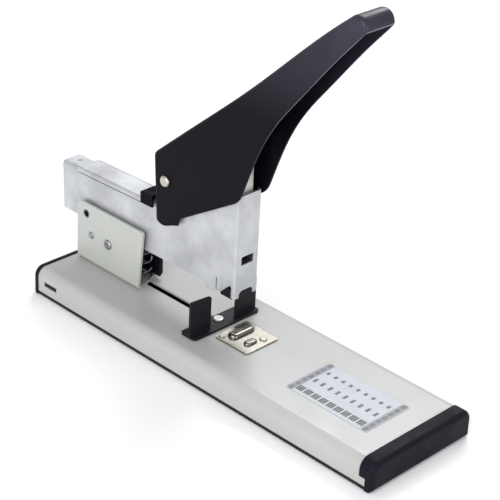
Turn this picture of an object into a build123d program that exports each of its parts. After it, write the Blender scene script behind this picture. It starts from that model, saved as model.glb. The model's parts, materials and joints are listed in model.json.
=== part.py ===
"""Heavy-duty desk stapler: a long sheet-steel base, a sprung arm with its magazine and a long lever handle.

Millimetres. +X runs to the front end cap, +Y to the left of someone facing the front, +Z up.
Lengths along X are measured from the middle of the base. Every part moves by FRAME_SHIFT as it is
written, so that the origin ends up under the middle of the whole object, on the plane it stands on.
"""

import os
from math import cos, radians, sin

from build123d import *

# ---------------------------------------------------------------- driving dimensions
# Base
BASE_LENGTH = 256.4
BASE_WIDTH = 75.2
BASE_TOP = 16.5
SHEET = 1.2
SHOULDER = 5.5
CAP_PROUD = 0.6
CAP_ROUND = 2.8
FRONT_LIP = 8.5
REAR_LIP = 4.0
TRAY_LOW = 0.6
TRAY_HIGH = 2.6

# Pivot bracket, which stands on the base
BRACKET_REAR = -121.0
BRACKET_FRONT = -66.0
BRACKET_TOP = 53.6
BRACKET_HALF = 11.0
BRACKET_WALL = 1.5
FAR_PLATE_BACK = 8.0
BRACKET_RIVET = 1.6
STOP_PIN = (-94.7, 35.0)
STOP_PIN_RADIUS = 2.0
ANCHOR_PIN = (-108.9, 35.2)
ANCHOR_PIN_RADIUS = 1.5
LIFT_SPRING_X = -76.5
SEAT_LOW = 42.2

# Arm, hinged in the bracket and pitched up by a small angle at rest
ARM_PIVOT = (-113.2, 47.2)
ARM_PITCH = 1.5
ARM_REAR = -138.0
CHANNEL_REAR = -123.8
ARM_LOW = 40.6
ARM_HIGH = 71.4
ARM_HALF = 7.7
ARM_WALL = 0.9

# Head: the upright column at the arm's front end
HEAD_REAR = -18.5
HEAD_FRONT = 2.7
HEAD_LOW = 41.5
HEAD_HIGH = 101.0
HEAD_HALF = 8.5
HEAD_WALL = 0.8

# Handle, hinged on the arm
HANDLE_PIVOT = (-49.4, 91.6)
HANDLE_HALF = 10.6
HANDLE_WALL = 1.2
HANDLE_BEND = 2.6
HANDLE_REAR_LOW = (-57.0, 60.0)
HANDLE_CROWN = (-60.0, 104.4)
HANDLE_CROWN_RADIUS = 4.0
INSET_REAR_AND_TOP = (HANDLE_WALL, -0.45 * HANDLE_WALL)
INSET_TIP = (-HANDLE_WALL, -1.3 * HANDLE_WALL)
REAR_WEB_LOW = 81.0
PIN_RADIUS = 2.5

# Driver, which the handle pushes down inside the head
DRIVE_PIN = (-16.0, 125.0)
DRIVE_PIN_RADIUS = 2.2
DRIVE_PIN_REACH = 13.0
DRIVER_TRAVEL = 24.5
BLADE_LOW = 66.5
BLOCK_LOW = 84.5
YOKE_LOW = 119.0
YOKE_HIGH = 129.8
YOKE_HALF = 3.6
YOKE_FRONT = 1.3
BLADE_REAR = 0.6
BLADE_SHEET = 1.0
STEM_LOW = 98.5
BLADE_RIVETS = (88.0, 97.0)
BLADE_RIVET_RADIUS = 1.2

# Staples and the rail that they straddle
RAIL_HALF = 5.6
RAIL_TOP = 55.4
STAPLE_WIRE = 0.9
STAPLE_LEG = 13.0
STRIP_LENGTH = 50.0
RAIL_PINS = [(-101.0, 49.0)]
RAIL_PIN_RADIUS = 1.5
RAIL_FRONT = 0.3
RAIL_SLOT = (-92.0, -50.0)

# Paper stop
STOP_REAR = -20.8
STOP_FRONT = -9.2
STOP_HALF = 24.4
STOP_SHEET = 1.2
EAR_FACE = -13.0
EAR_INNER = 9.3
EAR_TOP = 38.4
SLOT_HALF = 2.2
SLIDER_NECK = 4.0
SLIDER_FOOT = 2.5
STOP_RIVET = (-16.6, 0.0)
STOP_RIVET_RADIUS = 1.8

# Anvil
ANVIL_X = 6.0
ANVIL_Y = -0.8
ANVIL_SIDE = 24.0
ANVIL_SHEET = 1.0
ANVIL_RIVET = 1.3
DIE_X = 0.9

# Latch button on the arm, behind the handle
LATCH_FRONT = -60.8
LATCH_REAR = -70.2
LATCH_MIDDLE = (LATCH_REAR + LATCH_FRONT) / 2
LATCH_TRAVEL = 2.0

# Fits: clearance between bodies that pass each other, and radial play on pins.
# CLEAR is how far a cutting tool reaches past the middle plane, well outside every part it cuts.
GAP = 0.3
RUNNING = 0.05
CLEAR = 20.0

# The rearmost point is the inner channel's top corner, once the arm is pitched
PITCH = radians(ARM_PITCH)
CORNER_BACK = ARM_PIVOT[0] - ARM_REAR
CORNER_UP = ARM_HIGH - ARM_WALL - ARM_PIVOT[1]
REARMOST = ARM_PIVOT[0] - CORNER_BACK * cos(PITCH) - CORNER_UP * sin(PITCH)
FRAME_SHIFT = -(REARMOST + BASE_LENGTH / 2) / 2


# ---------------------------------------------------------------- shape helpers
def along_y(sketch, low, high):
    """A sketch drawn in X and Z, extruded from y = low to y = high."""
    return extrude(Plane.XZ.offset(-high) * sketch, high - low, dir=(0, -1, 0))


def along_x(sketch, low, high):
    """A sketch drawn in Y and Z, extruded from x = low to x = high."""
    return extrude(Plane.YZ.offset(low) * sketch, high - low, dir=(1, 0, 0))


def along_z(sketch, low, high):
    """A sketch drawn in X and Y, extruded from z = low to z = high."""
    return extrude(Plane.XY.offset(low) * sketch, high - low, dir=(0, 0, 1))


def box(x, y, z):
    """A box from pairs of limits."""
    size = (x[1] - x[0], y[1] - y[0], z[1] - z[0])
    return Pos(x[0], y[0], z[0]) * Box(*size, align=Align.MIN)


def rod_y(x, z, radius, low, high):
    return along_y(Pos(x, z) * Circle(radius), low, high)


def rod_z(x, y, radius, low, high):
    return along_z(Pos(x, y) * Circle(radius), low, high)


def rod_x(y, z, radius, low, high):
    return along_x(Pos(y, z) * Circle(radius), low, high)


def arch(half, low, high, radius):
    """A rectangle, symmetric about zero, with its two upper corners rounded."""
    face = Pos(0, (low + high) / 2) * Rectangle(2 * half, high - low)
    return fillet(face.vertices().sort_by(Axis.Y)[-2:], radius)


def channel(half, low, high, wall, bend, x_low, x_high):
    """An inverted U of bent sheet along X."""
    outer = arch(half, low, high, bend)
    inner = arch(half - wall, low - 1, high - wall, max(bend - wall, 0.2))
    return along_x(outer - inner, x_low, x_high)


def both_sides(part):
    """The part and its mirror image across the middle plane."""
    return part + mirror(part, Plane.XZ)


def pitched(part):
    """Turns a part of the level arm up to its rest angle, about the arm's pivot."""
    x, z = ARM_PIVOT
    return Pos(x, 0, z) * Rot(0, -ARM_PITCH, 0) * Pos(-x, 0, -z) * part


def pin_with_heads(x, z, radius, inner, head_radius, head):
    """A cross pin whose two domed heads start at y = inner."""
    pin = rod_y(x, z, radius, -inner, inner)
    cap = rod_y(x, z, head_radius, inner, inner + head)
    rim = cap.edges().group_by(Axis.Y)[-1]
    return pin + both_sides(fillet(rim, head * 0.9))


def coil(radius, wire, length, turns):
    """A helical spring along Z from z = 0, radius to the middle of the wire."""
    path = Helix(pitch=(length - wire) / turns, height=length - wire, radius=radius)
    start = Plane(origin=path @ 0, z_dir=path % 0)
    return Pos(0, 0, wire / 2) * sweep(start * Circle(wire / 2), path=path, is_frenet=True)


# ---------------------------------------------------------------- base
def base_shell():
    """The bent steel cover of the base, open below, with the paper stop's slot along its top."""
    half = BASE_WIDTH / 2 - CAP_PROUD
    end = BASE_LENGTH / 2 - 2.4
    shell = channel(half, TRAY_HIGH, BASE_TOP, SHEET, SHOULDER, -end, end)
    slot_front = STOP_RIVET[0] + SLIDER_NECK + GAP
    guide = box((-92, slot_front), (-SLOT_HALF, SLOT_HALF), (BASE_TOP - 3, BASE_TOP + 1))
    shell -= guide
    shell -= clip_windows(0)
    for x, y in bracket_rivet_places():
        shell -= rod_z(x, y, BRACKET_RIVET, BASE_TOP - 3, BASE_TOP + 1)
    for x, y in anvil_rivet_places():
        shell -= rod_z(x, y, ANVIL_RIVET, BASE_TOP - 3, BASE_TOP + 1)
    return shell


def clip_windows(play):
    """The window near the rear of each side wall, where the tray's clip shows."""
    reach = BASE_WIDTH / 2
    window = box((-119 + play, -108.4 - play), (-reach, -reach + 3), (7.4 + play, 10.2 - play))
    return both_sides(window)


def bottom_tray():
    """The moulded floor that closes the base, with a wall just inside the shell."""
    half = BASE_WIDTH / 2 - CAP_PROUD
    end = BASE_LENGTH / 2 - 2.4
    floor = box((-end, end), (-half, half), (TRAY_LOW, TRAY_HIGH))
    inner = half - SHEET
    wall = box((-end + 4, end - 4), (-inner, -inner + 1.6), (TRAY_HIGH, 11))
    clip = box((-118.7, -108.7), (-inner - 0.9, -inner), (7.7, 9.9))
    tray = floor + both_sides(wall) + both_sides(clip)
    for x, y in foot_places():
        tray -= rod_z(x, y, 8, 0, TRAY_LOW + 0.8)
    for x, y in screw_places():
        tray += rod_z(x, y, 4, TRAY_HIGH, BASE_TOP - SHEET)
        tray -= rod_z(x, y, 1.2, 0, 12)
        tray -= rod_z(x, y, 3, 0, TRAY_LOW + 1)
    return tray


def end_cap(sign, lip):
    """A moulded cap over one end of the shell; its lip steps back low down on each side."""
    tip = BASE_LENGTH / 2
    outside = arch(BASE_WIDTH / 2, TRAY_LOW, BASE_TOP + CAP_PROUD, SHOULDER + CAP_PROUD)
    cap = along_x(outside, tip - lip, tip)
    cap = fillet(cap.faces().sort_by(Axis.X)[-1].edges(), CAP_ROUND)
    half = BASE_WIDTH / 2 - CAP_PROUD
    hollow = arch(half, -1, BASE_TOP, SHOULDER)
    cap -= along_x(hollow, 0, tip - 2.4)
    notch_back = tip - lip - 1
    notch = box((notch_back, tip - 4.6), (-BASE_WIDTH, BASE_WIDTH), (0, 7.4))
    cap -= notch
    foot = box((tip - 2.4, tip - 1.6), (-half + 2, half - 2), (TRAY_LOW, 6))
    cap += foot
    return cap if sign > 0 else mirror(cap, Plane.YZ)


def foot_places():
    return [(x, y) for x in (-108, 108) for y in (-26, 26)]


def rubber_feet():
    pads = [rod_z(x, y, 8, 0, TRAY_LOW + 0.8) for x, y in foot_places()]
    return Compound([fillet(pad.edges().sort_by(Axis.Z)[0], 0.4).solid() for pad in pads])


def screw_places():
    return [(x, y) for x in (-100, 30, 100) for y in (-15, 15)]


def tray_screws():
    """Countersunk screws, driven up into the tray's bosses."""
    screws = []
    for x, y in screw_places():
        head = rod_z(x, y, 2.8, TRAY_LOW + 0.1, TRAY_LOW + 1)
        head -= box((x - 2, x + 2), (y - 0.4, y + 0.4), (0, TRAY_LOW + 0.5))
        head -= box((x - 0.4, x + 0.4), (y - 2, y + 2), (0, TRAY_LOW + 0.5))
        screws.append((head + rod_z(x, y, 1.2, TRAY_LOW + 1, 11)).solid())
    return Compound(screws)


def size_label():
    """A thin printed card in front of the anvil."""
    card = RectangleRounded(55.0, 33.4, 1.0)
    return along_z(Pos(79.0, -1.8) * card, BASE_TOP, BASE_TOP + 0.2)


# ---------------------------------------------------------------- anvil
def anvil_rivet_places():
    return [(ANVIL_X + 7.2, ANVIL_Y + 5.2), (ANVIL_X - 9.3, ANVIL_Y - 9.0)]


def anvil_plate():
    """The square steel plate that carries the two bars."""
    square = Pos(ANVIL_X, ANVIL_Y) * RectangleRounded(ANVIL_SIDE, ANVIL_SIDE, 1.2)
    sheet = along_z(square, BASE_TOP, BASE_TOP + ANVIL_SHEET)
    for x, y in anvil_rivet_places():
        sheet -= rod_z(x, y, ANVIL_RIVET, BASE_TOP - 1, BASE_TOP + 2)
    return sheet


def hump(x, y, length, width, height):
    """A round-topped bar along Y on the anvil plate."""
    low = BASE_TOP + ANVIL_SHEET
    bar = along_z(Pos(x, y) * SlotOverall(length, width, rotation=90), low, low + height)
    return fillet(bar.edges().group_by(Axis.Z)[-1], height * 0.85)


def anvil_die():
    """The hardened bar that bends the legs over, with one groove for each leg."""
    bar = hump(DIE_X, 0, 17.0, 7.0, 2.2)
    for side in (-1, 1):
        bar -= Pos(DIE_X, side * 4.4, BASE_TOP + 4.6) * Cylinder(2.0, 1.0, rotation=(0, 90, 0))
    return bar


def anvil_pad():
    """The second, lower bar, for pinning."""
    return hump(ANVIL_X + 5.4, ANVIL_Y - 2.8, 8.2, 4.6, 1.5)


def anvil_rivets():
    rivets = []
    for x, y in anvil_rivet_places():
        top = BASE_TOP + ANVIL_SHEET
        head = rod_z(x, y, 2.1, top, top + 0.7)
        head = fillet(head.edges().sort_by(Axis.Z)[-1], 0.4)
        rivets.append((head + rod_z(x, y, ANVIL_RIVET, BASE_TOP - 2, top)).solid())
    return Compound(rivets)


# ---------------------------------------------------------------- pivot bracket
def bracket_rivet_places():
    return [(x, y) for x in (-112, -86) for y in (-5, 5)]


def pivot_bracket():
    """Two plates and the web between them, bent from one sheet and riveted to the base."""
    low = BASE_TOP
    section = Pos(0, (low + BRACKET_TOP) / 2) * Rectangle(2 * BRACKET_HALF, BRACKET_TOP - low)
    section = fillet(section.vertices().sort_by(Axis.Y)[:2], 3.0)
    inner_half = BRACKET_HALF - BRACKET_WALL
    inner = Pos(0, (low + BRACKET_TOP) / 2 + BRACKET_WALL) * Rectangle(2 * inner_half, BRACKET_TOP - low)
    inner = fillet(inner.vertices().sort_by(Axis.Y)[:2], 1.5)
    bent = along_x(section - inner, BRACKET_REAR, BRACKET_FRONT)
    front_low = BRACKET_FRONT - 3.2
    outline = Polygon(
        (BRACKET_REAR, low),
        (front_low, low),
        (BRACKET_FRONT, BRACKET_TOP),
        (BRACKET_REAR, BRACKET_TOP),
        align=None,
    )
    top_corners = outline.vertices().group_by(Axis.Y)[-1].sort_by(Axis.X)
    outline = fillet(top_corners[0], 4.5)
    outline = fillet(outline.vertices().sort_by(Axis.X)[-1], 1.5)
    bent &= along_y(outline, -BRACKET_HALF, BRACKET_HALF)
    slant = Polygon(
        (front_low - FAR_PLATE_BACK, BRACKET_HALF + 1),
        (front_low + 0.5, -inner_half),
        (BRACKET_FRONT + 1, -inner_half),
        (BRACKET_FRONT + 1, BRACKET_HALF + 1),
        align=None,
    )
    bent -= along_z(slant, low - 1, BRACKET_TOP + 1)
    for x, y in bracket_rivet_places():
        bent -= rod_z(x, y, BRACKET_RIVET, low - 1, low + 3)
    for (x, z), radius in side_holes():
        bent -= rod_y(x, z, radius, -CLEAR, CLEAR)
    return bent


def side_holes():
    return [(ARM_PIVOT, PIN_RADIUS), (STOP_PIN, STOP_PIN_RADIUS), (ANCHOR_PIN, ANCHOR_PIN_RADIUS)]


def bracket_rivets():
    rivets = []
    for x, y in bracket_rivet_places():
        head = rod_z(x, y, 2.8, BASE_TOP + BRACKET_WALL, BASE_TOP + BRACKET_WALL + 1.2)
        head = fillet(head.edges().sort_by(Axis.Z)[-1], 0.7)
        rivets.append((head + rod_z(x, y, BRACKET_RIVET, BASE_TOP - 2, BASE_TOP + BRACKET_WALL)).solid())
    return Compound(rivets)


def arm_pivot_pin():
    """A tubular pin pressed into the bracket, flush with its outer faces."""
    x, z = ARM_PIVOT
    pin = rod_y(x, z, PIN_RADIUS, -BRACKET_HALF, BRACKET_HALF)
    return pin - rod_y(x, z, 1.7, -CLEAR, CLEAR)


def stop_pin():
    """The pin that the closing arm comes to rest on, with a dimple in each head."""
    pin = pin_with_heads(*STOP_PIN, STOP_PIN_RADIUS, BRACKET_HALF, 3.0, 1.1)
    dimple = rod_y(*STOP_PIN, 1.3, BRACKET_HALF + 0.4, BRACKET_HALF + 2)
    return pin - both_sides(dimple)


def anchor_pin():
    """The smaller pin that ties the bracket's two plates together."""
    return pin_with_heads(*ANCHOR_PIN, ANCHOR_PIN_RADIUS, BRACKET_HALF, 2.1, 0.7)


def lift_spring():
    """Compression spring between the bracket's web and the seat in the arm."""
    low = BASE_TOP + BRACKET_WALL
    return Pos(LIFT_SPRING_X, 0, low) * coil(4.0, 1.1, SEAT_LOW - GAP - low, 4)


def spring_seat():
    """The cross plate low in the arm that the lift spring pushes on."""
    inner = ARM_HALF - ARM_WALL
    return box((LIFT_SPRING_X - 6, LIFT_SPRING_X + 6), (-inner, inner), (SEAT_LOW, SEAT_LOW + 1.2))


def spring_holder():
    """The black moulding round three sides of the lift spring, open towards the front."""
    low = BASE_TOP + BRACKET_WALL
    half = BRACKET_HALF - BRACKET_WALL
    block = box((-90, -71.5), (-half, half), (low, 33.2))
    block = chamfer(block.edges().filter_by(Axis.X).group_by(Axis.Z)[0], 1.8)
    block -= box((-82.5, -60), (-half + 2.4, half - 2.4), (low, 40))
    for x, y in bracket_rivet_places():
        block -= rod_z(x, y, 3.2, low - 1, low + 3)
    return block - rod_y(*STOP_PIN, STOP_PIN_RADIUS + GAP, -CLEAR, CLEAR)


# ---------------------------------------------------------------- paper stop
def stop_plate():
    """A sheet flange on the base with an ear either side of the head."""
    low = BASE_TOP + GAP
    middle = (STOP_REAR + STOP_FRONT) / 2
    outline = Pos(middle, 0) * RectangleRounded(STOP_FRONT - STOP_REAR, 2 * STOP_HALF, 2.4)
    flange = along_z(outline, low, low + STOP_SHEET)
    blank = Polygon(
        (-STOP_HALF, low),
        (-EAR_INNER, low),
        (-EAR_INNER, EAR_TOP - 1.2),
        (-STOP_HALF, EAR_TOP),
        align=None,
    )
    blank = fillet(blank.vertices().sort_by(Axis.Y)[-2:], 1.4)
    ear = along_x(blank, EAR_FACE - STOP_SHEET, EAR_FACE)
    plate = flange + both_sides(ear)
    return plate - rod_z(*STOP_RIVET, STOP_RIVET_RADIUS, 0, CLEAR)


def stop_slider():
    """The block under the base's top that runs in the slot."""
    x = STOP_RIVET[0]
    neck_half = SLOT_HALF - GAP
    foot_top = BASE_TOP - SHEET - GAP
    neck = box((x - SLIDER_NECK, x + SLIDER_NECK), (-neck_half, neck_half), (foot_top, BASE_TOP + GAP))
    foot = box((x - 9, x + 9), (-7, 7), (foot_top - SLIDER_FOOT, foot_top))
    return neck + foot - rod_z(*STOP_RIVET, STOP_RIVET_RADIUS, 0, CLEAR)


def stop_rivet():
    x, y = STOP_RIVET
    top = BASE_TOP + GAP + STOP_SHEET
    head = rod_z(x, y, 3.0, top, top + 1.0)
    head = fillet(head.edges().sort_by(Axis.Z)[-1], 0.6)
    return head + rod_z(x, y, STOP_RIVET_RADIUS, BASE_TOP - SHEET - GAP - SLIDER_FOOT, top)


# ---------------------------------------------------------------- arm
def arm_channel():
    """The outer channel, open below, from behind the pivot to the head."""
    arm = channel(ARM_HALF, ARM_LOW, ARM_HIGH, ARM_WALL, 1.6, CHANNEL_REAR, HEAD_REAR + 3.5)
    arm -= pivot_bore()
    arm -= rail_pin_bores()
    x, z = HANDLE_PIVOT
    ear = Polygon(
        (x - 6.2, 66),
        (x - 6.2, z + 5.4),
        (HEAD_REAR + 3.5, z + 5.4),
        (HEAD_REAR + 3.5, 66),
        align=None,
    )
    ear = fillet(ear.vertices().group_by(Axis.Y)[-1].sort_by(Axis.X)[0], 5.0)
    arm = pitched(arm) + both_sides(along_y(ear, ARM_HALF - ARM_WALL, ARM_HALF))
    return arm - rod_y(x, z, PIN_RADIUS, -CLEAR, CLEAR)


def pivot_bore():
    return rod_y(*ARM_PIVOT, PIN_RADIUS + RUNNING, -CLEAR, CLEAR)


def rail_pin_bores():
    return [rod_y(x, z, RAIL_PIN_RADIUS, -CLEAR, CLEAR) for x, z in RAIL_PINS]


def inner_channel():
    """The inner channel, which stands out behind the outer one."""
    high = ARM_HIGH - ARM_WALL
    arm = channel(ARM_HALF - ARM_WALL, ARM_LOW + 0.4, high, 0.8, 2.2, ARM_REAR, -96)
    arm -= pivot_bore()
    arm -= rail_pin_bores()
    arm -= rod_z(-131.0, 0, 1.4, high - 3, high + 1)
    return pitched(arm)


def magazine_rail():
    """The core that the staples straddle, solid at its front end, where the first staple waits."""
    low = ARM_LOW + 3.2
    rail = channel(RAIL_HALF, low, RAIL_TOP, 1.0, 0.8, -106, HEAD_REAR + 3)
    rail += along_x(arch(RAIL_HALF, low, RAIL_TOP, 0.8), HEAD_REAR + 3, RAIL_FRONT - 1.6)
    rail -= box(RAIL_SLOT, (-1.4, 1.4), (RAIL_TOP - 3, RAIL_TOP + 1))
    return pitched(rail - rail_pin_bores())


def rail_pins():
    """The cross pin that ties the rail to both channels."""
    pins = [rod_y(x, z, RAIL_PIN_RADIUS, -ARM_HALF, ARM_HALF) for x, z in RAIL_PINS]
    return pitched(Compound([pin.solid() for pin in pins]))


def staple_strip():
    """The glued strip of staples astride the rail."""
    top = RAIL_TOP + STAPLE_WIRE
    half = RAIL_HALF + STAPLE_WIRE
    front = RAIL_FRONT - 1.6
    outer = arch(half, top - STAPLE_LEG, top, 1.5)
    inner = arch(RAIL_HALF, ARM_LOW, RAIL_TOP, 0.8)
    return pitched(along_x(outer - inner, front - STRIP_LENGTH, front))


def follower_spring():
    """The spring inside the rail that draws the pusher forward."""
    length = 35.5
    spring = Rot(0, 90, 0) * coil(2.2, 0.8, length, 16)
    return pitched(Pos(RAIL_SLOT[1] - 2.4, 0, ARM_LOW + 8.4) * spring)


def staple_pusher():
    """The block behind the staples, with a tongue down through the rail's slot."""
    rear = RAIL_FRONT - 1.6 - STRIP_LENGTH
    block = box((rear - 18, rear - GAP), (-5.0, 5.0), (RAIL_TOP + GAP, RAIL_TOP + 8))
    block = fillet(block.edges().filter_by(Axis.Y).group_by(Axis.Z)[-1], 2.0)
    tongue = box((rear - 8, rear - 2.5), (-1.1, 1.1), (RAIL_TOP - 4.5, RAIL_TOP + GAP))
    return pitched(block + tongue)


def pivot_spacers():
    """Washers that centre the arm between the bracket's plates."""
    x, z = ARM_PIVOT
    ring = rod_y(x, z, 5.0, ARM_HALF, BRACKET_HALF - BRACKET_WALL - GAP)
    ring -= rod_y(x, z, PIN_RADIUS + RUNNING, 0, CLEAR)
    return both_sides(ring)


# ---------------------------------------------------------------- head
def head_cover():
    """The bright sheet wrapped round the front and sides of the column."""
    plan = Pos((HEAD_REAR + HEAD_FRONT) / 2, 0) * Rectangle(HEAD_FRONT - HEAD_REAR, 2 * HEAD_HALF)
    plan = fillet(plan.vertices().sort_by(Axis.X)[-2:], 1.6)
    inside = Pos((HEAD_REAR + HEAD_FRONT) / 2 - HEAD_WALL, 0) * Rectangle(
        HEAD_FRONT - HEAD_REAR, 2 * (HEAD_HALF - HEAD_WALL)
    )
    inside = fillet(inside.vertices().sort_by(Axis.X)[-2:], 0.8)
    cover = along_z(plan - inside, HEAD_LOW - 2, HEAD_HIGH)
    cover -= box((0.2, HEAD_FRONT + 1), (-CLEAR, CLEAR), (HEAD_LOW - 3, HEAD_LOW))
    cover -= along_x(Pos(0, 62.9) * RectangleRounded(8.8, 5.0, 0.6), 0, 10)
    cover -= along_x(arch(5.2, HEAD_LOW - 1, HEAD_LOW + 3.8, 2.6), 0, 10)
    side_cut = Polygon(
        (HEAD_REAR - 1, HEAD_LOW - 2.2),
        (-7.4, HEAD_LOW + 1.0),
        (-0.9, 48.8),
        (0.2, 47.8),
        (0.2, HEAD_LOW - 3),
        (HEAD_REAR - 1, HEAD_LOW - 3),
        align=None,
    )
    cover -= along_y(side_cut, -CLEAR, CLEAR)
    cover -= box((-11.4, -10.6), (-CLEAR, CLEAR), (42.6, 49.4))
    tab = Pos(-8.6, 46.2) * RectangleRounded(3.0, 5.6, 1.2)
    cover += both_sides(along_y(tab, -HEAD_HALF - 0.5, -HEAD_HALF))
    pin_room = DRIVE_PIN[1] - DRIVER_TRAVEL - DRIVE_PIN_RADIUS - 0.8
    return cover - box((HEAD_REAR - 1, 0.2), (-CLEAR, CLEAR), (pin_room, HEAD_HIGH + 1))


def nose_block():
    """The block across the head's foot, under the rail's front end."""
    inner = HEAD_HALF - HEAD_WALL
    return box((-8.2, 0.2), (-inner, inner), (40.3, 45.8))


def head_back():
    """The plate that closes the column's rear above the arm."""
    inner = ARM_HALF - ARM_WALL
    return box((HEAD_REAR + 0.6, HEAD_REAR + 1.8), (-inner, inner), (ARM_HIGH + 5, 93.6))


# ---------------------------------------------------------------- driver
def driver_block():
    """The sliding block; the drive pin runs in the slot of the yoke on its upper end."""
    rear = HEAD_REAR + 4.6
    block = box((rear, BLADE_REAR), (-7.2, 7.2), (BLOCK_LOW, STEM_LOW))
    block += box((rear, BLADE_REAR), (-YOKE_HALF, YOKE_HALF), (STEM_LOW, YOKE_LOW))
    yoke = box((DRIVE_PIN[0] - 4.8, YOKE_FRONT), (-YOKE_HALF, YOKE_HALF), (YOKE_LOW, YOKE_HIGH))
    yoke = chamfer(yoke.edges().filter_by(Axis.Y).group_by(Axis.Z)[-1].sort_by(Axis.X)[0], 2.0)
    block += yoke
    x, z = DRIVE_PIN
    play = DRIVE_PIN_RADIUS + 0.8
    slot = Pos(x + DRIVE_PIN_REACH / 2, z + 0.45) * SlotOverall(DRIVE_PIN_REACH + 2 * play + 0.2, 2 * play)
    block -= along_y(slot, -CLEAR, CLEAR)
    return block - blade_rivet_bores()


def blade_rivet_bores():
    return [rod_x(0, z, BLADE_RIVET_RADIUS, -3, 2) for z in BLADE_RIVETS]


def driver_blade():
    """The hardened plate that drives one staple."""
    blade = box((BLADE_REAR, BLADE_REAR + BLADE_SHEET), (-6.5, 6.5), (BLADE_LOW, 101.0))
    return blade - blade_rivet_bores()


def blade_rivets():
    front = BLADE_REAR + BLADE_SHEET
    return Compound([rod_x(0, z, BLADE_RIVET_RADIUS, -3, front).solid() for z in BLADE_RIVETS])


# ---------------------------------------------------------------- handle
def handle_pivot_pin():
    """The bright pin through the handle's cheeks and the mount."""
    return pin_with_heads(*HANDLE_PIVOT, PIN_RADIUS, HANDLE_HALF + GAP, 3.3, 1.5)


def handle_spacers():
    x, z = HANDLE_PIVOT
    ring = rod_y(x, z, 5.0, ARM_HALF, HANDLE_HALF - HANDLE_WALL - GAP)
    ring -= rod_y(x, z, PIN_RADIUS, 0, CLEAR)
    return both_sides(ring)


def handle_spring():
    """The torsion spring round the handle's pin, which lifts the handle again."""
    x, z = HANDLE_PIVOT
    spring = Rot(90, 0, 0) * coil(3.6, 1.2, 11.0, 7)
    return Pos(x, 5.5, z) * spring


def handle_upper():
    """The region under the handle's upper edge, in X and Z: rear edge, crown, long top and rounded tip."""
    rear = Line(HANDLE_REAR_LOW, HANDLE_CROWN)
    top = Spline(HANDLE_CROWN, (-25.8, 133.8), (8.2, 163.4), (56.8, 208.6), (69.0, 218.8))
    tip = TangentArc(top @ 1, (77.2, 210.0), tangent=top % 1)
    rest = Polyline(tip @ 1, (77.2, 60.0), HANDLE_REAR_LOW)
    face = make_face([rear, top, tip, *rest.edges()])
    crown = face.vertices().sort_by_distance(HANDLE_CROWN)[0]
    return fillet(crown, HANDLE_CROWN_RADIUS)


def handle_below():
    """The region below the handle's lower edge: grip, nose, belly, notch and the lobe round the pivot."""
    grip = Spline(
        (80.0, 215.4),
        (76.6, 211.4),
        (64.8, 198.0),
        (40.8, 168.4),
        (28.9, 153.2),
        (18.8, 136.4),
        (12.2, 121.0),
        (6.2, 104.4),
    )
    nose = TangentArc(grip @ 1, (2.2, 98.4), tangent=grip % 1)
    belly = Polyline(nose @ 1, (-38.0, 73.6), (-39.2, 72.4), (-39.8, 68.8))
    lobe = Spline(belly @ 1, (-45.6, 66.6), (-51.4, 64.9), (-55.8, 66.4), (-60.0, 74.0))
    rest = Polyline(lobe @ 1, (-70.0, 74.0), (-70.0, 50.0), (90.0, 50.0), (90.0, 215.4), grip @ 0)
    return make_face([grip, nose, *belly.edges(), lobe, *rest.edges()])


def handle_shell():
    """The long lever: two cheeks joined by a web along their upper edge, round the tip and down the rear."""
    upper = handle_upper()
    below = handle_below()
    solid = along_y(upper, -HANDLE_HALF, HANDLE_HALF)
    outer_edges = [edge for edge in solid.edges() if on_cheek_edge(edge)]
    solid = fillet(outer_edges, HANDLE_BEND)
    solid -= along_y(below, -CLEAR, CLEAR)
    core = (Pos(*INSET_REAR_AND_TOP) * upper) & (Pos(*INSET_TIP) * upper)
    inner = HANDLE_HALF - HANDLE_WALL
    hollow = along_y(core, -inner, inner) + box((-75, -50), (-inner, inner), (50, REAR_WEB_LOW))
    solid -= hollow
    x, z = HANDLE_PIVOT
    return (solid - rod_y(x, z, PIN_RADIUS + RUNNING, -CLEAR, CLEAR)).solid()


def on_cheek_edge(edge):
    """Whether an edge of the handle's blank runs along the outside of a cheek, above its open bottom."""
    middle = edge.position_at(0.5)
    return abs(abs(middle.Y) - HANDLE_HALF) < 0.01 and middle.Z > 62


def drive_pin():
    """The pin between the cheeks that runs in the driver's slot."""
    inner = HANDLE_HALF - HANDLE_WALL
    return rod_y(*DRIVE_PIN, DRIVE_PIN_RADIUS, -inner, inner)


# ---------------------------------------------------------------- latch
def latch_button():
    """The black button astride the arm's top, with a skirt down each side and a pocket for its spring."""
    low = ARM_HIGH + LATCH_TRAVEL + GAP
    body = box((LATCH_REAR, LATCH_FRONT), (-8.9, 8.9), (low - 4.6, low + 2.6))
    body = fillet(body.edges().filter_by(Axis.Y).group_by(Axis.Z)[-1], 1.2)
    side = ARM_HALF + GAP
    body -= box((LATCH_REAR - 1, LATCH_FRONT + 1), (-side, side), (low - 6, low))
    body -= rod_z(LATCH_MIDDLE, 0, 2.6, low - 1, low + 1.2)
    for step in range(3):
        groove = LATCH_REAR + 1.8 + 1.8 * step
        body -= box((groove, groove + 0.7), (-6, 6), (low + 2.1, low + 4))
    return pitched(body)


def latch_spring():
    length = LATCH_TRAVEL + GAP + 1.2 - 0.1
    return pitched(Pos(LATCH_MIDDLE, 0, ARM_HIGH + 0.05) * coil(1.9, 0.4, length, 4))


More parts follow.
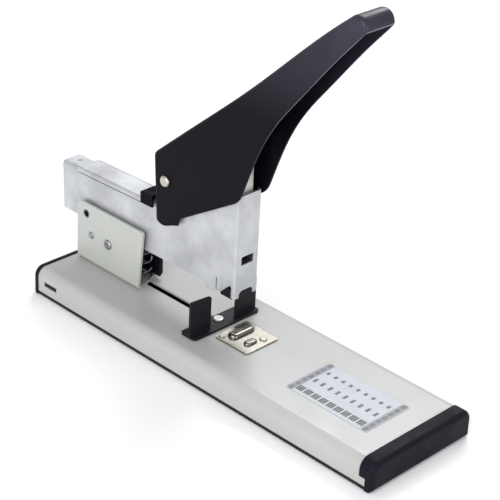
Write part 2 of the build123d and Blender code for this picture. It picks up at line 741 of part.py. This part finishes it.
# ---------------------------------------------------------------- writing
PARTS = {
    "base_shell": base_shell,
    "bottom_tray": bottom_tray,
    "front_end_cap": lambda: end_cap(1, FRONT_LIP),
    "rear_end_cap": lambda: end_cap(-1, REAR_LIP),
    "rubber_feet": rubber_feet,
    "tray_screws": tray_screws,
    "size_label": size_label,
    "anvil_plate": anvil_plate,
    "anvil_die": anvil_die,
    "anvil_pad": anvil_pad,
    "anvil_rivets": anvil_rivets,
    "pivot_bracket": pivot_bracket,
    "bracket_rivets": bracket_rivets,
    "arm_pivot_pin": arm_pivot_pin,
    "stop_pin": stop_pin,
    "anchor_pin": anchor_pin,
    "spring_holder": spring_holder,
    "lift_spring": lift_spring,
    "spring_seat": spring_seat,
    "stop_plate": stop_plate,
    "stop_slider": stop_slider,
    "stop_rivet": stop_rivet,
    "arm_channel": arm_channel,
    "inner_channel": inner_channel,
    "magazine_rail": magazine_rail,
    "rail_pins": rail_pins,
    "staple_strip": staple_strip,
    "follower_spring": follower_spring,
    "staple_pusher": staple_pusher,
    "pivot_spacers": pivot_spacers,
    "head_cover": head_cover,
    "nose_block": nose_block,
    "head_back": head_back,
    "driver_block": driver_block,
    "driver_blade": driver_blade,
    "blade_rivets": blade_rivets,
    "handle_pivot_pin": handle_pivot_pin,
    "handle_spacers": handle_spacers,
    "handle_spring": handle_spring,
    "handle_shell": handle_shell,
    "drive_pin": drive_pin,
    "latch_button": latch_button,
    "latch_spring": latch_spring,
}

os.makedirs("parts", exist_ok=True)
for name, make in PARTS.items():
    export_step(Pos(FRAME_SHIFT, 0, 0) * make(), f"parts/{name}.step")
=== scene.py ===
"""Looks of the heavy-duty stapler: materials, spring coils with meshes of their own, printed card, arm's
hem, light, camera.

Metres, in the CAD frame: +X to the front end cap, +Y to the left of that, +Z up.
"""

import json
import math

import bmesh
import bpy
from mathutils import Matrix, Vector


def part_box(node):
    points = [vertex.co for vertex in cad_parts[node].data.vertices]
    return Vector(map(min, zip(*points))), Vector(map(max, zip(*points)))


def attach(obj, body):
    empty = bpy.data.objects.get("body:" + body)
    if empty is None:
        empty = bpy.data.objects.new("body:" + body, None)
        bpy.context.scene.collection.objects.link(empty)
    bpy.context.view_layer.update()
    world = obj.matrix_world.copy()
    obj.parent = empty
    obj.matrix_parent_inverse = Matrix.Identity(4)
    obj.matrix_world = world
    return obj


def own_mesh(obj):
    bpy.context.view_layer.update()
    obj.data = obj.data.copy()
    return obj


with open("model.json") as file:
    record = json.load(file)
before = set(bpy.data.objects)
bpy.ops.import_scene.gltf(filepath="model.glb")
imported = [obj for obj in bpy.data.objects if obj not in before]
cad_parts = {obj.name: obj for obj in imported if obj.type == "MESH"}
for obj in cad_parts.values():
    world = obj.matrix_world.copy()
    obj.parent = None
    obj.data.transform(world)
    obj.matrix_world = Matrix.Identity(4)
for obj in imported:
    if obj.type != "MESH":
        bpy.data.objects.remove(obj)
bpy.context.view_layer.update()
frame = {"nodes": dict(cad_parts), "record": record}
NODES = frame["nodes"]

# ---------------------------------------------------------------- camera and light
CAMERA_AZIMUTH = math.radians(43.69)
CAMERA_ELEVATION = math.radians(28.42)
CAMERA_ROLL = math.radians(2.99)
CAMERA_DISTANCE = 0.885
CAMERA_TARGET = Vector((0.0094, 0.0, 0.0690))
CAMERA_LENS = 123.43
SENSOR_WIDTH = 36.0
CAMERA_FAR = 20.0

HORIZON_COLOUR = (0.98, 0.99, 1.0)
ZENITH_COLOUR = (0.90, 0.92, 0.96)
WORLD_STRENGTH = 0.72
FLOOR_COLOUR = (0.90, 0.90, 0.90)
FLOOR_RADIUS = 3.0
FLOOR_SEGMENTS = 96

# ---------------------------------------------------------------- surfaces
EDGE_ROUND = 0.00025
BEVEL_SAMPLES = 6
# Between these two heights the handle's paint ramps up to more gloss and a lighter painted sheen towards
# the tip
TIP_SHEEN_FROM = 0.150
TIP_SHEEN_TO = 0.215

# ---------------------------------------------------------------- printing on the card
PRINT_MARGIN = 0.0003
INK = 0.00003
BAR = 0.0042
DASHES = 7
DASH_WIDTH = 0.5
DASH_FILL = 0.8
FIRST_COLUMN = 0.0022
COLUMNS = 9
COLUMN_PITCH = 0.00512
STROKE_FILL = 0.86
MARK_ROUND = 0.3
# For each row: its place along Y, the length along X and breadth along Y of a mark, and its strokes
ROWS = (
    (0.0068, 0.0019, 0.0026, 2),
    (-0.0030, 0.0018, 0.0038, 2),
    (-0.0138, 0.0043, 0.0046, 3),
)

# ---------------------------------------------------------------- hem along the arm's upper edges, and a painted shadow line under it
ARM_PITCH = math.radians(1.5)
HEM_REAR_TOP = 0.0708
HEM_START = 0.0006
HEM_END = 0.0528
HEM_HEIGHT = 0.0021
HEM_PROUD = 0.00045
HEM_ROUND = 0.0004
HEM_SUNK = 0.0001
# Size of the painted shadow line: a thin black strip just under the hem
SHADOW_LINE_HEIGHT = 0.0007
SHADOW_LINE_PROUD = 0.00015

# Colour sockets of Blender's Mix node
MIX_A = 6
MIX_B = 7
MIX_RESULT = 2


# ---------------------------------------------------------------- node trees
class Look:
    """One procedural material: a Principled shader and short names for the nodes that feed it."""

    def __init__(self, name, colour, roughness, metallic=0.0):
        self.material = bpy.data.materials.new(name)
        self.material.use_nodes = True
        self.tree = self.material.node_tree
        self.shader = self.tree.nodes["Principled BSDF"]
        self.shader.inputs["Base Color"].default_value = (*colour, 1)
        self.shader.inputs["Roughness"].default_value = roughness
        self.shader.inputs["Metallic"].default_value = metallic
        self.place = self.tree.nodes.new("ShaderNodeTexCoord").outputs["Object"]
        self.rounded = self.bevelled(EDGE_ROUND)
        self.set("Normal", self.rounded)

    def link(self, value, socket):
        """Feeds a socket from another node's output, or with a plain value."""
        if isinstance(value, bpy.types.NodeSocket):
            self.tree.links.new(value, socket)
        else:
            socket.default_value = value

    def set(self, name, value):
        self.link(value, self.shader.inputs[name])

    def stretched(self, x, y, z):
        """Object coordinates scaled by a different factor along each axis."""
        node = self.tree.nodes.new("ShaderNodeMapping")
        node.inputs["Scale"].default_value = (x, y, z)
        self.link(self.place, node.inputs["Vector"])
        return node.outputs["Vector"]

    def noise(self, scale, detail=3.0, roughness=0.5, place=None):
        """Cloudy noise with about scale patches to the metre, and finer ones in as many steps as detail."""
        node = self.tree.nodes.new("ShaderNodeTexNoise")
        node.inputs["Scale"].default_value = scale
        node.inputs["Detail"].default_value = detail
        node.inputs["Roughness"].default_value = roughness
        self.link(place or self.place, node.inputs["Vector"])
        return node.outputs["Fac"]

    def height(self):
        """How high above the floor the point is at rest."""
        node = self.tree.nodes.new("ShaderNodeSeparateXYZ")
        self.link(self.place, node.inputs[0])
        return node.outputs["Z"]

    def ranged(self, value, low, high, from_low=0.3, from_high=0.7):
        """The value stretched from one range to another, and held at its ends."""
        node = self.tree.nodes.new("ShaderNodeMapRange")
        for socket, number in zip(node.inputs[1:5], (from_low, from_high, low, high)):
            socket.default_value = number
        self.link(value, node.inputs["Value"])
        return node.outputs["Result"]

    def math(self, operation, a, b):
        node = self.tree.nodes.new("ShaderNodeMath")
        node.operation = operation
        self.link(a, node.inputs[0])
        self.link(b, node.inputs[1])
        return node.outputs["Value"]

    def mixed(self, amount, a, b):
        """Colour a where amount is 0 and colour b where it is 1."""
        node = self.tree.nodes.new("ShaderNodeMix")
        node.data_type = "RGBA"
        self.link(amount, node.inputs["Factor"])
        for socket, colour in ((node.inputs[MIX_A], a), (node.inputs[MIX_B], b)):
            self.link(colour if isinstance(colour, bpy.types.NodeSocket) else (*colour, 1), socket)
        return node.outputs[MIX_RESULT]

    def bevelled(self, radius):
        """The surface's normal, turned smoothly round every edge."""
        node = self.tree.nodes.new("ShaderNodeBevel")
        node.inputs["Radius"].default_value = radius
        node.samples = BEVEL_SAMPLES
        return node.outputs["Normal"]

    def bump(self, height, distance, strength):
        """Fine relief on top of the rounded edges."""
        node = self.tree.nodes.new("ShaderNodeBump")
        node.inputs["Distance"].default_value = distance
        node.inputs["Strength"].default_value = strength
        self.link(height, node.inputs["Height"])
        self.link(self.rounded, node.inputs["Normal"])
        self.set("Normal", node.outputs["Normal"])

    def edges(self, radius, sharpness=0.12):
        """1 along convex and concave edges, 0 on flat stretches."""
        flat = self.tree.nodes.new("ShaderNodeNewGeometry")
        dot = self.tree.nodes.new("ShaderNodeVectorMath")
        dot.operation = "DOT_PRODUCT"
        self.link(self.bevelled(radius), dot.inputs[0])
        self.link(flat.outputs["Normal"], dot.inputs[1])
        return self.ranged(dot.outputs["Value"], 1.0, 0.0, 1.0 - sharpness, 1.0)


def shade(colour, factor):
    """The colour, darker or lighter."""
    return tuple(min(1.0, part * factor) for part in colour)


def enamel(name, colour, roughness=0.38, coat=0.15):
    """Sprayed paint: faint orange peel, slow changes of tone, dust specks and lighter worn edges."""
    look = Look(name, colour, roughness)
    slow = look.ranged(look.noise(14, 2), 0.0, 1.0)
    specks = look.ranged(look.noise(2600, 1), 0.0, 1.0, 0.70, 0.78)
    worn = look.math("MULTIPLY", look.edges(0.0006), look.ranged(look.noise(300, 3), 0.0, 0.5))
    tone = look.mixed(slow, shade(colour, 0.965), shade(colour, 1.03))
    tone = look.mixed(look.math("MULTIPLY", specks, 0.12), tone, shade(colour, 0.6))
    tone = look.mixed(worn, tone, shade(colour, 1.2))
    look.set("Base Color", tone)
    look.set("Roughness", look.ranged(look.noise(60, 4), roughness - 0.05, roughness + 0.08))
    look.set("Coat Weight", coat)
    look.set("Coat Roughness", 0.2)
    look.bump(look.noise(900, 2), 0.00003, 0.5)
    return look.material


def black_paint(name, colour, roughness, gloss=0.14):
    """Satin black paint: fine texture, faint greyer rubs along the edges and on stretches that hands touch.
    """
    look = Look(name, colour, roughness)
    look.set("Specular IOR Level", gloss)
    rubs = look.ranged(look.noise(35, 5, 0.65), 0.0, 1.0, 0.45, 0.75)
    worn = look.math("MULTIPLY", look.edges(0.0008), look.ranged(look.noise(240, 4), 0.05, 0.8))
    tone = look.mixed(look.math("MULTIPLY", rubs, 0.5), colour, shade(colour, 1.6))
    tone = look.mixed(worn, tone, shade(colour, 2.2))
    look.set("Base Color", tone)
    look.set("Roughness", look.ranged(look.noise(50, 4), roughness - 0.06, roughness + 0.1))
    look.bump(look.noise(1500, 2), 0.00004, 0.6)
    return look.material


def handle_paint(name, colour, roughness):
    """Satin black paint, glossier towards the tip of the lever, where a painted sheen lightens it."""
    look = Look(name, colour, roughness)
    gloss_and_painted_sheen = look.ranged(look.height(), 0.0, 1.0, TIP_SHEEN_FROM, TIP_SHEEN_TO)
    patches = look.math("MULTIPLY", gloss_and_painted_sheen, look.ranged(look.noise(55, 3), 0.7, 1.0))
    worn = look.math("MULTIPLY", look.edges(0.0008), look.ranged(look.noise(240, 4), 0.0, 0.4))
    # Painted sheen: the colour turns lighter, in patches, towards the tip of the lever
    tone = look.mixed(patches, colour, shade(colour, 6.0))
    look.set("Base Color", look.mixed(worn, tone, shade(colour, 2.6)))
    look.set("Specular IOR Level", look.ranged(gloss_and_painted_sheen, 0.05, 0.22, 0.0, 1.0))
    look.set("Roughness", look.ranged(look.noise(50, 4), roughness - 0.06, roughness + 0.1))
    look.bump(look.noise(1500, 2), 0.00003, 0.5)
    return look.material


def plastic(name, colour, roughness=0.5, gloss=0.16):
    """Moulded plastic: spark-eroded grain, a soft sheen and slightly polished edges."""
    look = Look(name, colour, roughness)
    look.set("Specular IOR Level", gloss)
    tone = look.mixed(look.ranged(look.noise(40, 3), 0.0, 1.0), shade(colour, 0.85), shade(colour, 1.2))
    tone = look.mixed(look.math("MULTIPLY", look.edges(0.0006), 0.35), tone, shade(colour, 2.6))
    look.set("Base Color", tone)
    look.set("Roughness", look.ranged(look.noise(90, 3), roughness - 0.08, roughness + 0.08))
    look.bump(look.noise(2400, 2), 0.00005, 0.7)
    return look.material


def plated(
    name,
    colour,
    roughness,
    mottle=0.12,
    brush=(60, 900, 900),
    relief=0.00001,
    metallic=1.0,
    patchy=1.0,
):
    """Plated sheet steel: cloudy passivation, fine rolling marks, small scuffs and bright edges."""
    look = Look(name, colour, roughness, metallic)
    cloud = look.ranged(look.noise(42, 5, 0.6), 0.0, 1.0)
    rolled = look.noise(1, 3, place=look.stretched(*brush))
    scuffs = look.ranged(look.noise(1, 2, place=look.stretched(160, 1900, 260)), 0.0, 1.0, 0.68, 0.76)
    bright = look.math("MULTIPLY", look.edges(0.0005), 0.6)
    tone = look.mixed(cloud, shade(colour, 1 - mottle), shade(colour, 1 + mottle / 3))
    tone = look.mixed(look.math("MULTIPLY", scuffs, 0.25), tone, shade(colour, 0.75))
    tone = look.mixed(bright, tone, shade(colour, 1.25))
    look.set("Base Color", tone)
    rough = look.ranged(look.noise(55, 4, 0.6), roughness - 0.07 * patchy, roughness + 0.12 * patchy)
    look.set("Roughness", look.math("ADD", rough, look.ranged(rolled, -0.03, 0.05)))
    look.bump(rolled, relief, 0.35)
    return look.material


def wire(name, colour, roughness=0.25):
    """Drawn wire: marks along its length too fine to point anywhere, so only cloud and scratches."""
    look = Look(name, colour, roughness, metallic=1.0)
    tone = look.mixed(look.ranged(look.noise(500, 4), 0.0, 1.0), shade(colour, 0.82), shade(colour, 1.08))
    look.set("Base Color", tone)
    look.set("Roughness", look.ranged(look.noise(900, 3), roughness - 0.06, roughness + 0.14))
    look.bump(look.noise(2500, 2), 0.00001, 0.4)
    return look.material


def rubber(name, colour):
    """Matt moulded rubber with a fine grain."""
    look = Look(name, colour, 0.8)
    cloud = look.ranged(look.noise(200, 4), 0.0, 1.0)
    look.set("Base Color", look.mixed(cloud, shade(colour, 0.8), shade(colour, 1.3)))
    look.set("Roughness", look.ranged(look.noise(300, 3), 0.7, 0.92))
    look.bump(look.noise(2000, 3), 0.00006, 0.8)
    return look.material


def card(name, colour):
    """Printed film: a slight unevenness, fibres and a soft gloss."""
    look = Look(name, colour, 0.42)
    fibres = look.ranged(look.noise(120, 4), 0.0, 1.0)
    look.set("Base Color", look.mixed(fibres, shade(colour, 0.96), shade(colour, 1.02)))
    look.set("Roughness", look.ranged(look.noise(400, 3), 0.36, 0.5))
    look.bump(look.noise(1400, 2), 0.00002, 0.4)
    return look.material


# Brush marks and relief of a surface that is polished, not rolled
POLISHED = {"brush": (300, 300, 300), "relief": 0.0000005}

MATERIALS = {
    "base_paint": enamel("base_paint", (0.41, 0.417, 0.402)),
    "bracket_paint": enamel("bracket_paint", (0.43, 0.442, 0.415)),
    "black_paint": black_paint("black_paint", (0.010, 0.009, 0.012), 0.42),
    "handle_paint": handle_paint("handle_paint", (0.0055, 0.0045, 0.0075), 0.32),
    "arm_steel": plated("arm_steel", (0.55, 0.557, 0.580), 0.44, mottle=0.30, metallic=0.7),
    "nickel_steel": plated("nickel_steel", (0.36, 0.34, 0.30), 0.29, patchy=0.2, **POLISHED),
    "driver_steel": plated("driver_steel", (0.52, 0.50, 0.47), 0.42, brush=(700, 700, 80)),
    "zinc_steel": plated("zinc_steel", (0.34, 0.345, 0.35), 0.3, brush=(600, 600, 600), relief=0.000003),
    "spring_steel": wire("spring_steel", (0.20, 0.20, 0.21)),
    "staple_wire": wire("staple_wire", (0.55, 0.56, 0.58), 0.3),
    "pin_steel": plated("pin_steel", (0.52, 0.50, 0.43), 0.2, brush=(900, 900, 900)),
    "dark_steel": plated("dark_steel", (0.15, 0.15, 0.16), 0.4, brush=(900, 900, 900)),
    "cap_plastic": plastic("cap_plastic", (0.010, 0.0075, 0.013), gloss=0.07),
    "tray_plastic": plastic("tray_plastic", (0.014, 0.014, 0.016), 0.6),
    "feet_rubber": rubber("feet_rubber", (0.025, 0.025, 0.026)),
    "label_card": card("label_card", (0.44, 0.455, 0.49)),
}
PRINT_DARK = card("print_dark", (0.07, 0.07, 0.08))
PRINT_GREY = card("print_grey", (0.12, 0.12, 0.14))
PRINT_PALE = card("print_pale", (0.25, 0.255, 0.28))


# ---------------------------------------------------------------- CAD nodes as they are
DIE_STEEL = plated("die_steel", (0.20, 0.19, 0.17), 0.22, patchy=0.3, **POLISHED)
# Nodes that are darker than the others of their material slot
OWN_MATERIALS = {
    "latch_button": plastic("latch_plastic", (0.004, 0.0035, 0.005), gloss=0.05),
    "anvil_die": DIE_STEEL,
    "anvil_pad": DIE_STEEL,
}


def dress_nodes():
    """Gives every CAD node its material. Its normals are the CAD surfaces' own."""
    for entry in frame["record"]["subparts"]:
        name = entry["node"]
        piece = NODES[name]
        piece.data.materials.clear()
        piece.data.materials.append(OWN_MATERIALS.get(name, MATERIALS[entry["material_slot"]]))


def shorten_spring(node):
    """Gives a coil's object a mesh of its own. This script does not squeeze the coil down."""
    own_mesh(NODES[node])


dress_nodes()
shorten_spring("lift_spring")
shorten_spring("latch_spring")


# ---------------------------------------------------------------- pieces built here
def piece_from(name, form, materials, body):
    """Makes an object of a bmesh, in the CAD frame, that rides on a CAD body."""
    bmesh.ops.recalc_face_normals(form, faces=form.faces)
    mesh = bpy.data.meshes.new(name)
    form.to_mesh(mesh)
    form.free()
    for material in materials:
        mesh.materials.append(material)
    piece = bpy.data.objects.new(name, mesh)
    bpy.context.collection.objects.link(piece)
    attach(piece, body)
    return piece


def rounded_outline(centre, size, radius, steps=3):
    """Points round a rectangle with rounded corners, in X and Y."""
    points = []
    for turn, (sx, sy) in enumerate(((1, 1), (-1, 1), (-1, -1), (1, -1))):
        corner = (centre[0] + sx * (size[0] / 2 - radius), centre[1] + sy * (size[1] / 2 - radius))
        for step in range(steps + 1):
            angle = math.pi / 2 * (turn + step / steps)
            points.append((corner[0] + radius * math.cos(angle), corner[1] + radius * math.sin(angle)))
    return points


def add_solid(form, rings, material):
    """A closed solid between two rings of points, which have the same number of points each."""
    near, far = [[form.verts.new(point) for point in ring] for ring in rings]
    faces = [form.faces.new(near[::-1]), form.faces.new(far)]
    for i in range(len(near)):
        k = (i + 1) % len(near)
        faces.append(form.faces.new((near[i], near[k], far[k], far[i])))
    for face in faces:
        face.material_index = material


def print_label():
    """The card's printing: a bar at each end and three rows of plain marks. None of them is a letter."""
    low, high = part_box("size_label")
    middle = (low.y + high.y) / 2
    width = high.y - low.y - 2 * PRINT_MARGIN
    form = bmesh.new()
    dark, grey, pale = range(3)

    def mark(x, y, length, breadth, ink, level=high.z):
        outline = rounded_outline((x, y), (length, breadth), min(length, breadth) * MARK_ROUND)
        rings = [[(px, py, z) for px, py in outline] for z in (level, level + INK)]
        add_solid(form, rings, ink)

    for x in (low.x + PRINT_MARGIN + BAR / 2, high.x - PRINT_MARGIN - BAR / 2):
        mark(x, middle, BAR, width, pale)
        for dash in range(DASHES):
            y = middle + width * ((dash + 0.5) / DASHES - 0.5)
            mark(x, y, BAR * DASH_WIDTH, width / DASHES * DASH_FILL, grey, high.z + INK)
    first = low.x + PRINT_MARGIN + BAR + FIRST_COLUMN
    for y, length, breadth, strokes in ROWS:
        for column in range(COLUMNS):
            middle_x = first + COLUMN_PITCH * column
            for stroke in range(strokes):
                x = middle_x + length * ((stroke + 0.5) / strokes - 0.5)
                mark(x, y, length / strokes * STROKE_FILL, breadth, dark)
    piece_from("label_print", form, [PRINT_DARK, PRINT_GREY, PRINT_PALE], "base")


def hem_arm():
    """The folded-over strip along both upper edges of the arm's channel, and under it a thin black strip
    that is a painted shadow line.
    """
    low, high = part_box("arm_channel")
    rear = Vector((low.x, 0, HEM_REAR_TOP))
    along = Vector((math.cos(ARM_PITCH), 0, math.sin(ARM_PITCH)))
    up = Vector((-math.sin(ARM_PITCH), 0, math.cos(ARM_PITCH)))
    shadow_line_low = -HEM_HEIGHT - SHADOW_LINE_HEIGHT
    # Sections seen along the arm: distance out from the side wall, and height above the edge
    hem = ((0, 0), (HEM_PROUD, -HEM_ROUND), (HEM_PROUD, -HEM_HEIGHT), (0, -HEM_HEIGHT))
    # Painted shadow: a thin black strip where the hem's shade falls on the side wall
    shadow_line = ((0, -HEM_HEIGHT), (SHADOW_LINE_PROUD, -HEM_HEIGHT), (SHADOW_LINE_PROUD, shadow_line_low), (0, shadow_line_low))
    form = bmesh.new()
    for side in (-1, 1):
        for material, section in enumerate((hem, shadow_line)):
            rings = []
            for distance in (HEM_START, HEM_END):
                ring = []
                for out, rise in section:
                    across = Vector((0, side * (high.y - HEM_SUNK + out), 0))
                    ring.append(rear + along * distance + up * rise + across)
                rings.append(ring)
            add_solid(form, rings, material)
    # The black second material is the painted shadow line's
    materials = [MATERIALS["arm_steel"], MATERIALS["tray_plastic"]]
    piece_from("arm_hem", form, materials, "arm")


print_label()
hem_arm()


# ---------------------------------------------------------------- floor, light and camera
def stage_floor():
    """A pale round floor under the stapler."""
    mesh = bpy.data.meshes.new("floor")
    form = bmesh.new()
    bmesh.ops.create_circle(form, cap_ends=True, radius=FLOOR_RADIUS, segments=FLOOR_SEGMENTS)
    form.to_mesh(mesh)
    form.free()
    floor = bpy.data.objects.new("floor", mesh)
    bpy.context.collection.objects.link(floor)
    look = Look("floor", FLOOR_COLOUR, 0.9)
    look.set("Base Color", look.mixed(look.noise(3, 2), FLOOR_COLOUR, shade(FLOOR_COLOUR, 1.02)))
    mesh.materials.append(look.material)


def softbox(name, place, aim, size, power):
    """A large area light at place, turned to face aim."""
    data = bpy.data.lights.new(name, "AREA")
    data.shape = "RECTANGLE"
    data.size, data.size_y = size
    data.energy = power
    light = bpy.data.objects.new(name, data)
    light.location = place
    light.rotation_euler = (Vector(aim) - Vector(place)).to_track_quat("-Z", "Y").to_euler()
    bpy.context.collection.objects.link(light)


def place_camera():
    """Looks at the target from the camera's azimuth, elevation and distance, turned by its roll."""
    cos_a, sin_a = math.cos(CAMERA_AZIMUTH), math.sin(CAMERA_AZIMUTH)
    cos_e, sin_e = math.cos(CAMERA_ELEVATION), math.sin(CAMERA_ELEVATION)
    back = Vector((sin_a * cos_e, -cos_a * cos_e, sin_e))
    right = Vector((cos_a, sin_a, 0))
    up = back.cross(right)
    turn = Matrix.Rotation(CAMERA_ROLL, 3, back)
    axes = Matrix((turn @ right, turn @ up, back)).transposed()
    data = bpy.data.cameras.new("camera")
    data.lens = CAMERA_LENS
    data.sensor_width = SENSOR_WIDTH
    data.clip_end = CAMERA_FAR
    camera = bpy.data.objects.new("camera", data)
    camera.matrix_world = Matrix.Translation(CAMERA_TARGET + back * CAMERA_DISTANCE) @ axes.to_4x4()
    bpy.context.collection.objects.link(camera)
    bpy.context.scene.camera = camera


def light_world():
    """A soft studio sky, slightly darker overhead than at the horizon."""
    world = bpy.data.worlds.new("studio")
    world.use_nodes = True
    tree = world.node_tree
    place = tree.nodes.new("ShaderNodeTexCoord")
    split = tree.nodes.new("ShaderNodeSeparateXYZ")
    blend = tree.nodes.new("ShaderNodeMix")
    blend.data_type = "RGBA"
    blend.inputs[MIX_A].default_value = (*HORIZON_COLOUR, 1)
    blend.inputs[MIX_B].default_value = (*ZENITH_COLOUR, 1)
    tree.links.new(place.outputs["Generated"], split.inputs[0])
    tree.links.new(split.outputs["Z"], blend.inputs["Factor"])
    background = tree.nodes["Background"]
    tree.links.new(blend.outputs[MIX_RESULT], background.inputs["Color"])
    background.inputs["Strength"].default_value = WORLD_STRENGTH
    bpy.context.scene.world = world


bpy.context.scene.view_settings.view_transform = "Standard"
stage_floor()
light_world()
softbox("key", place=(0.35, -1.2, 0.65), aim=(0.02, 0, 0.06), size=(0.9, 0.7), power=12)
softbox("front", place=(0.95, -0.1, 0.35), aim=(0, 0, 0.06), size=(0.5, 0.5), power=2.5)
softbox("back", place=(-0.45, 0.8, 1.0), aim=(0, 0, 0.05), size=(0.7, 0.45), power=9)
place_camera()
